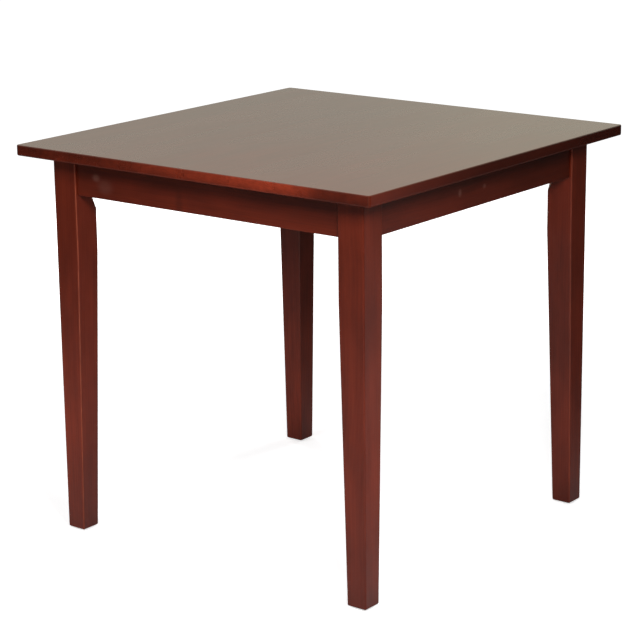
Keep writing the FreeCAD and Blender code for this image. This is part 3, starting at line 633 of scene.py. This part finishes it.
def make_stained_wood(name, grain, reach, front_tones, side_tones, wear, settings, marks=()):
    """Lacquered wood of an apron or a leg, toned along its grain and by the face it shows, partly with
    painted shade, and at the foot.
    """
    material, tree, shader = new_material(name)
    position = grain_position(tree, grain, cut_from_log(log_draw(settings, name)))
    place = surface_place(tree)
    along = measure(tree, "DOT_PRODUCT", place, grain)
    # Tone along the grain and by face: partly stain, partly painted shade
    front_tone = spread(tree, along, *reach, *front_tones)
    side_tone = spread(tree, along, *reach, *side_tones)
    on_sides = spread(tree, facing_axes(tree)["X"], *TURN)
    by_face = blend_value(tree, on_sides, front_tone, side_tone)
    # Painted contact shadow: darker at the foot
    tone = calc(tree, "MULTIPLY", by_face, spread(tree, axes(tree, place)["Z"], *FOOT_SHADE_RANGE))
    # Wear lightens rounded edges: rubbed wear on the aprons, mostly a painted highlight on the legs
    surface = stain_wood(
        tree, settings, position=position, tone=tone, mottle=1.0, pores=0.4,
        gloss=settings.gloss, haze=0.08, wear=wear)
    set_shader(tree, shader, surface, bump=0.08, distance=0.0002)
    # Marks on the aprons: pale painted highlights and a dark smear
    tree.links.new(add_marks(tree, surface["Color"], place, marks), shader.inputs["Base Color"])
    shader.inputs["IOR"].default_value = LACQUER_IOR
    return material


def make_top_wood(name, draw, settings):
    """Polished wood of one board of the top."""
    material, tree, shader = new_material(name)
    position = grain_position(tree, ALONG_Y, cut_from_log(draw))
    tone = place_group(tree, "top_edge_tone", tone=TOP_TONE * draw.uniform(*TOP_TONE_CHANGE))["Tone"]
    surface = stain_wood(
        tree, settings, position=position, tone=tone, mottle=0.5, pores=0.1,
        gloss=settings.top_gloss, haze=0.02, wear=TOP_WEAR)
    set_shader(tree, shader, surface, bump=0.02, distance=0.0002)
    shader.inputs["IOR"].default_value = TOP_IOR
    return material


def make_raw_wood(name, grain, draw, settings):
    """Planed, unfinished wood of one corner block."""
    material, tree, shader = new_material(name)
    position = grain_position(tree, grain, cut_from_log(draw))
    pale = Vector(settings.raw_wood)
    surface = place_group(
        tree, "stained_wood", position=position, ring_spacing=BLOCK_RING_SPACING,
        dark=opaque(pale * BLOCK_LATEWOOD), light=opaque(pale * BLOCK_EARLYWOOD),
        worn=opaque(pale * BLOCK_EDGE),
        tone=draw.uniform(*BLOCK_TONE_CHANGE), mottle=0.5, pores=0.45, gloss=0.62, haze=0.1, wear=0.4)
    set_shader(tree, shader, surface, bump=0.35, distance=0.0003)
    return material


def make_plated_metal(name, color, tarnish):
    """Plated steel, darker by a factor where it is tarnished."""
    material, tree, shader = new_material(name)
    surface = place_group(
        tree, "plated_metal", position=surface_place(tree), plating=opaque(color),
        tarnish=opaque(Vector(color) * tarnish))
    set_shader(tree, shader, surface, bump=0.08, distance=0.0001)
    shader.inputs["Metallic"].default_value = 1.0
    return material


def make_nylon(name, color):
    """Moulded nylon with a fine eroded skin."""
    material, tree, shader = new_material(name)
    position = surface_place(tree)
    grit = noise(tree, position, (1500.0, 1500.0, 1500.0), detail=3.0)
    cloud = noise(tree, position, (90.0, 90.0, 90.0))
    dust = spread(tree, cloud, 0.4, 0.8, 0.0, 0.35)
    dusty = blend_color(tree, dust, opaque(color), opaque(Vector(color) * NYLON_DUST))
    tree.links.new(dusty, shader.inputs["Base Color"])
    tree.links.new(calc(tree, "MULTIPLY_ADD", cloud, 0.2, 0.42), shader.inputs["Roughness"])
    add_relief(tree, shader, grit, bump=0.3, distance=0.0001)
    return material


# Pieces


def dress(node, material):
    """Give a carried-over piece its finish."""
    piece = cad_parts[node]
    piece.data.materials.clear()
    piece.data.materials.append(material)


class TABLE_OT_top_boards(bpy.types.Operator):
    """Stain and lacquer the glued boards of the top, grain from front to back"""

    bl_idname = "table.top_boards"
    bl_label = "Top Boards"

    def execute(self, context):
        settings = context.scene.table_wood
        for node in BOARDS:
            dress(node, make_top_wood(f"{node}_wood", log_draw(settings, node), settings))
        return {"FINISHED"}


class TABLE_OT_aprons(bpy.types.Operator):
    """Stain and lacquer the four aprons, grain along each"""

    bl_idname = "table.aprons"
    bl_label = "Aprons"

    def execute(self, context):
        settings = context.scene.table_wood
        for side, grain in APRON_GRAINS.items():
            node = f"apron_{side}"
            tones = APRON_TONES[side]
            marks = APRON_MARKS.get(side, ())
            wood = make_stained_wood(
                f"{node}_wood", grain, APRON_REACH, tones, tones, APRON_WEAR, settings, marks)
            dress(node, wood)
        return {"FINISHED"}


class TABLE_OT_legs(bpy.types.Operator):
    """Stain and lacquer the four legs, grain upright"""

    bl_idname = "table.legs"
    bl_label = "Legs"

    def execute(self, context):
        settings = context.scene.table_wood
        for corner, finish in LEGS.items():
            node = f"leg_{corner}"
            dress(node, make_stained_wood(f"{node}_wood", ALONG_Z, LEG_REACH, *finish, settings))
        return {"FINISHED"}


class TABLE_OT_corner_blocks(bpy.types.Operator):
    """Leave the corner blocks as planed wood, grain across the corner"""

    bl_idname = "table.corner_blocks"
    bl_label = "Corner Blocks"

    def execute(self, context):
        wood = context.scene.table_wood
        hardware = context.scene.table_hardware
        for corner in CORNERS:
            node = f"corner_block_{corner}"
            slant = -1 if corner in ("front_left", "back_right") else 1
            grain = Vector((1, slant, 0)).normalized()
            dress(node, make_raw_wood(f"{node}_wood", grain, log_draw(wood, node), hardware))
        return {"FINISHED"}


def bolt_lines():
    """Outer end, direction and length of each hanger bolt, from the vertices of its solid."""
    groups = {}
    points = [vertex.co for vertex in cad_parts["hanger_bolts"].data.vertices]
    middle = sum(point.z for point in points) / len(points)
    for point in points:
        groups.setdefault((point.x > 0, point.y > 0, point.z > middle), []).append(point)
    for (right, back, _), group in sorted(groups.items()):
        inwards = Vector((1 if right else -1, 1 if back else -1, 0)).normalized()
        reach = [point.dot(inwards) for point in group]
        level = (min(point.z for point in group) + max(point.z for point in group)) / 2
        yield inwards * min(reach) + ALONG_Z * level, inwards, max(reach) - min(reach)


def thread_radius(turn, along, length, settings):
    """Radius of a hanger bolt at a turn of its axis and a distance from its outer end."""
    machine = along < length - BOLT_BITE
    pitch = settings.thread_pitch if machine else WOOD_THREAD_PITCH
    depth = settings.thread_depth if machine else WOOD_THREAD_DEPTH
    wave = abs(2 * ((along / pitch - turn) % 1) - 1)
    crest = min(max((wave - THREAD_FLAT) / (1 - 2 * THREAD_FLAT), 0), 1)
    full = BOLT_RADIUS - depth * (1 - crest)
    bevelled = BOLT_RADIUS - BOLT_BEVEL + along
    pointed = (length - along) * BOLT_RADIUS / BOLT_POINT
    return max(min(full, bevelled, pointed), BOLT_POINT_RADIUS)


def bolt_rows(length, settings):
    """Distances along a hanger bolt at which its thread is drawn, closer in the machine thread."""
    along = 0.0
    while along < length:
        yield along
        pitch = settings.thread_pitch if along < length - BOLT_BITE else WOOD_THREAD_PITCH
        along += pitch / ROWS_PER_PITCH
    yield length


def add_bolt(build, start, inwards, length, settings):
    """Add the closed mesh of one hanger bolt."""
    across = inwards.cross(ALONG_Z)
    rows = []
    for along in bolt_rows(length, settings):
        row = []
        for step in range(BOLT_SIDES):
            turn = step / BOLT_SIDES
            angle = 2 * math.pi * turn
            side = across * math.cos(angle) + ALONG_Z * math.sin(angle)
            radius = thread_radius(turn, along, length, settings)
            row.append(build.verts.new(start + inwards * along + side * radius))
        rows.append(row)
    for near, far in zip(rows, rows[1:]):
        for step in range(BOLT_SIDES):
            after = (step + 1) % BOLT_SIDES
            build.faces.new((near[step], near[after], far[after], far[step]))
    build.faces.new(list(reversed(rows[0])))
    build.faces.new(rows[-1])


def make_threaded_bolts(settings, finish):
    """Hanger bolts with a machine thread under the nut and a coarse thread in the leg."""
    build = bmesh.new()
    for start, inwards, length in bolt_lines():
        add_bolt(build, start, inwards, length, settings)
    bmesh.ops.recalc_face_normals(build, faces=build.faces)
    mesh = bpy.data.meshes.new("threaded_bolts")
    build.to_mesh(mesh)
    build.free()
    mesh.shade_smooth()
    mesh.set_sharp_from_angle(angle=SHARP_TURN)
    mesh.materials.append(finish)
    bolts = bpy.data.objects.new("threaded_bolts", mesh)
    bpy.context.scene.collection.objects.link(bolts)
    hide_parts("hanger_bolts")
    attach(bolts, ROOT)


class TABLE_OT_hardware(bpy.types.Operator):
    """Plate the bolts, nuts, washers, nails and wood screws"""

    bl_idname = "table.hardware"
    bl_label = "Bolts, Nuts and Screws"

    def execute(self, context):
        settings = context.scene.table_hardware
        zinc = make_plated_metal("clear_zinc", settings.zinc, TARNISH["zinc"])
        yellow = make_plated_metal("yellow_zinc", settings.yellow_zinc, TARNISH["yellow_zinc"])
        for node in ("flat_washers", "spring_washers", "hex_nuts", "glide_nails"):
            dress(node, zinc)
        make_threaded_bolts(settings, zinc)
        for node in ("block_screws", "top_screws", "pocket_screws"):
            dress(node, yellow)
        return {"FINISHED"}


class TABLE_OT_foot_glides(bpy.types.Operator):
    """Mould the glides under the feet"""

    bl_idname = "table.foot_glides"
    bl_label = "Foot Glides"

    def execute(self, context):
        nylon = make_nylon("nylon", context.scene.table_hardware.nylon)
        for corner in CORNERS:
            dress(f"foot_glide_{corner}", nylon)
        return {"FINISHED"}


# Studio


def towards(azimuth, elevation):
    """Direction from the table, by angles from the front and from the floor."""
    flat = math.cos(elevation)
    return Vector((math.sin(azimuth) * flat, -math.cos(azimuth) * flat, math.sin(elevation)))


def add_soft_light(name, place, aim, size, power, lights=True, mirrored=False):
    """Square light that faces its aim, for plain light, for reflections or for both."""
    lamp = bpy.data.lights.new(name, "AREA")
    lamp.shape = "SQUARE"
    lamp.size = size
    lamp.energy = power
    light = bpy.data.objects.new(name, lamp)
    light.location = place
    light.rotation_euler = (aim - place).to_track_quat("-Z", "Y").to_euler()
    light.visible_camera = False
    light.visible_diffuse = lights
    light.visible_glossy = mirrored
    bpy.context.scene.collection.objects.link(light)


def add_lamp(name, power, azimuth, elevation, distance, size):
    """Lamp placed by its angles in degrees from the front and from the floor."""
    place = LAMP_AIM + towards(math.radians(azimuth), math.radians(elevation)) * distance
    add_soft_light(name, place, LAMP_AIM, size, power)


def make_world(settings):
    """Even studio light, white where it is seen, with pale walls in reflections."""
    world = bpy.data.worlds.new("studio")
    world.use_nodes = True
    tree = world.node_tree
    tree.nodes.clear()
    path = tree.nodes.new("ShaderNodeLightPath").outputs
    sharp = calc(tree, "MAXIMUM", path["Is Glossy Ray"], path["Is Transmission Ray"])
    seen = calc(tree, "MAXIMUM", path["Is Camera Ray"], sharp)
    strength = spread(tree, seen, 0.0, 1.0, settings.ambient, 1.0)
    direction = tree.nodes.new("ShaderNodeTexCoord").outputs["Generated"]
    across = (math.cos(settings.azimuth), math.sin(settings.azimuth), 0.0)
    aside = measure(tree, "DOT_PRODUCT", direction, across)
    rightwards = spread(tree, aside, *WALL_TURN)
    painted = blend_color(tree, rightwards, opaque(settings.wall_left), opaque(settings.wall_right))
    lower = spread(tree, axes(tree, direction)["Z"], *WALL_RISE)
    shaded = calc(tree, "MULTIPLY", lower, spread(tree, aside, *WALL_FALL))
    wall = scale_color(tree, painted, shaded)
    color = blend_color(tree, path["Is Glossy Ray"], WHITE, wall)
    background = add(tree, "ShaderNodeBackground", {"Color": color, "Strength": strength})
    output = tree.nodes.new("ShaderNodeOutputWorld")
    tree.links.new(background.outputs[0], output.inputs["Surface"])
    bpy.context.scene.world = world


def make_floor_paint():
    """White paint, darker far from the table, that glows where it is seen and is clear from below."""
    material = bpy.data.materials.new("white_floor")
    material.use_nodes = True
    tree = material.node_tree
    tree.nodes.clear()
    place = surface_place(tree)
    path = tree.nodes.new("ShaderNodeLightPath").outputs
    dim = spread(tree, measure(tree, "DISTANCE", place, BRIGHT_SPOT), *BRIGHT_RANGE)
    unseen = calc(tree, "SUBTRACT", dim, path["Is Camera Ray"], clamp=True)
    color = blend_color(tree, unseen, FLOOR_BRIGHT, FLOOR_DIM)
    paint = add(tree, "ShaderNodeBsdfDiffuse", {"Color": color})
    seen_lift = spread(tree, measure(tree, "LENGTH", place), *SEEN_RANGE)
    straight = calc(tree, "MULTIPLY", path["Is Camera Ray"], seen_lift)
    sharp = calc(tree, "MAXIMUM", path["Is Glossy Ray"], path["Is Transmission Ray"])
    near = spread(tree, dim, 0.0, 1.0, NEAR_GLOW, 0.0)
    ahead = spread(tree, measure(tree, "DISTANCE", place, GLOW_SPOT), *GLOW_RANGE)
    mirrored = calc(tree, "MULTIPLY", sharp, calc(tree, "MAXIMUM", near, ahead))
    strength = calc(tree, "MAXIMUM", straight, mirrored)
    lift = add(tree, "ShaderNodeEmission", {"Color": WHITE, "Strength": strength})
    both = add(tree, "ShaderNodeAddShader", {0: paint.outputs[0], 1: lift.outputs[0]})
    below = tree.nodes.new("ShaderNodeNewGeometry").outputs["Backfacing"]
    clear = tree.nodes.new("ShaderNodeBsdfTransparent")
    sheet = add(tree, "ShaderNodeMixShader", {0: below, 1: both.outputs[0], 2: clear.outputs[0]})
    output = tree.nodes.new("ShaderNodeOutputMaterial")
    tree.links.new(sheet.outputs[0], output.inputs["Surface"])
    return material


def make_floor():
    """White floor that keeps the table's shadow."""
    mesh = bpy.data.meshes.new("floor")
    build = bmesh.new()
    bmesh.ops.create_grid(build, x_segments=1, y_segments=1, size=FLOOR_SIZE)
    build.to_mesh(mesh)
    build.free()
    floor = bpy.data.objects.new("floor", mesh)
    bpy.context.scene.collection.objects.link(floor)
    mesh.materials.append(make_floor_paint())


def make_camera(settings):
    """Camera where the photograph was taken from."""
    azimuth, elevation, roll = settings.azimuth, settings.elevation, settings.roll
    back = towards(azimuth, elevation)
    right = Vector((math.cos(azimuth), math.sin(azimuth), 0))
    up = back.cross(right)
    middle = Vector((0, 0, (FOOT_LEVEL + TABLE_TOP) / 2))
    eye = middle + right * settings.aim_across + up * settings.aim_up + back * settings.distance
    across = right * math.cos(roll) + up * math.sin(roll)
    upwards = up * math.cos(roll) - right * math.sin(roll)
    lens = bpy.data.cameras.new("camera")
    lens.lens = settings.lens
    lens.clip_end = VIEW_DEPTH
    camera = bpy.data.objects.new("camera", lens)
    turn = Matrix((across, upwards, back)).transposed().to_4x4()
    camera.matrix_world = Matrix.Translation(eye) @ turn
    bpy.context.scene.collection.objects.link(camera)
    bpy.context.scene.camera = camera


class TABLE_OT_stage(bpy.types.Operator):
    """Set up the white studio, its lights and the camera"""

    bl_idname = "table.stage"
    bl_label = "Studio"

    def execute(self, context):
        settings = context.scene.table_studio
        context.scene.view_settings.view_transform = "Standard"
        make_world(settings)
        make_floor()
        add_lamp("key_light", settings.key, azimuth=-5, elevation=32, distance=3.2, size=0.5)
        add_lamp("fill_light", settings.fill, azimuth=48, elevation=28, distance=1.9, size=0.4)
        add_lamp("left_light", settings.left, azimuth=-30, elevation=40, distance=3.2, size=0.5)
        add_lamp("rear_light_right", settings.rear, azimuth=178, elevation=7, distance=3.2, size=0.9)
        add_lamp("rear_light_left", settings.rear, azimuth=246, elevation=7, distance=3.2, size=0.9)
        add_soft_light(
            "white_card", CARD_PLACE, CARD_PLACE - ALONG_X, CARD_SIZE, settings.card,
            lights=False, mirrored=True)
        add_soft_light("side_light", SIDE_PLACE, SIDE_AIM, SIDE_SIZE, settings.side)
        make_camera(settings)
        return {"FINISHED"}


# Panel and start

STEPS = (
    TABLE_OT_top_boards,
    TABLE_OT_aprons,
    TABLE_OT_legs,
    TABLE_OT_corner_blocks,
    TABLE_OT_hardware,
    TABLE_OT_foot_glides,
    TABLE_OT_stage,
)


class TABLE_PT_sidebar(bpy.types.Panel):
    """Lists the steps that dress the table"""

    bl_idname = "TABLE_PT_sidebar"
    bl_label = "Square Dining Table"
    bl_space_type = "VIEW_3D"
    bl_region_type = "UI"
    bl_category = "Table"

    def draw(self, context):
        for step in STEPS:
            self.layout.operator(step.bl_idname)


CLASSES = (StainedWoodSettings, HardwareSettings, StudioSettings, *STEPS, TABLE_PT_sidebar)


def register():
    """Make the settings, steps and panel known."""
    for item in CLASSES:
        bpy.utils.register_class(item)
    bpy.types.Scene.table_wood = PointerProperty(type=StainedWoodSettings)
    bpy.types.Scene.table_hardware = PointerProperty(type=HardwareSettings)
    bpy.types.Scene.table_studio = PointerProperty(type=StudioSettings)


def unregister():
    """Take the settings, steps and panel away."""
    del bpy.types.Scene.table_studio
    del bpy.types.Scene.table_hardware
    del bpy.types.Scene.table_wood
    for item in reversed(CLASSES):
        bpy.utils.unregister_class(item)


def main():
    """Dress the table and set up the studio."""
    register()
    for step in STEPS:
        area, name = step.bl_idname.split(".")
        getattr(getattr(bpy.ops, area), name)()


if __name__ == "__main__":
    main()
